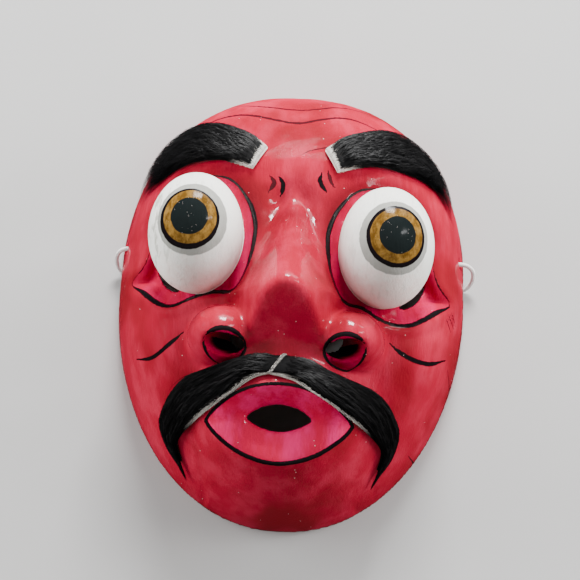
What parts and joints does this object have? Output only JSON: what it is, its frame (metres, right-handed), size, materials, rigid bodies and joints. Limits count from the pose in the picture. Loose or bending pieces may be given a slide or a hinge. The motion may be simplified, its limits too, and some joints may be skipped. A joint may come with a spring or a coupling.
{
  "type": "carved theatre mask",
  "caption": "Hollow carved wooden face mask with ball eyes, an open mouth, hair brows and moustache, and an elastic head strap.",
  "frame": {"origin": "on the surface the mask lies on, below the middle of its bounding box", "axes": "+X to the viewer's right, +Y from chin to crown, +Z out of the face, away from the wearer"},
  "size_m": [0.1634, 0.201, 0.084],
  "materials": {
    "mask": "glossy red enamel paint over carved wood",
    "hair": "black hair on a thin white-edged hide",
    "strap": "matte white braided elastic"
  },
  "bodies": {
    "root": {"mask": "mask", "brow_left": "hair", "brow_right": "hair", "moustache_left": "hair", "moustache_right": "hair", "strap": "strap", "strap_knot_left": "strap", "strap_knot_right": "strap"}
  },
  "joints": []
}
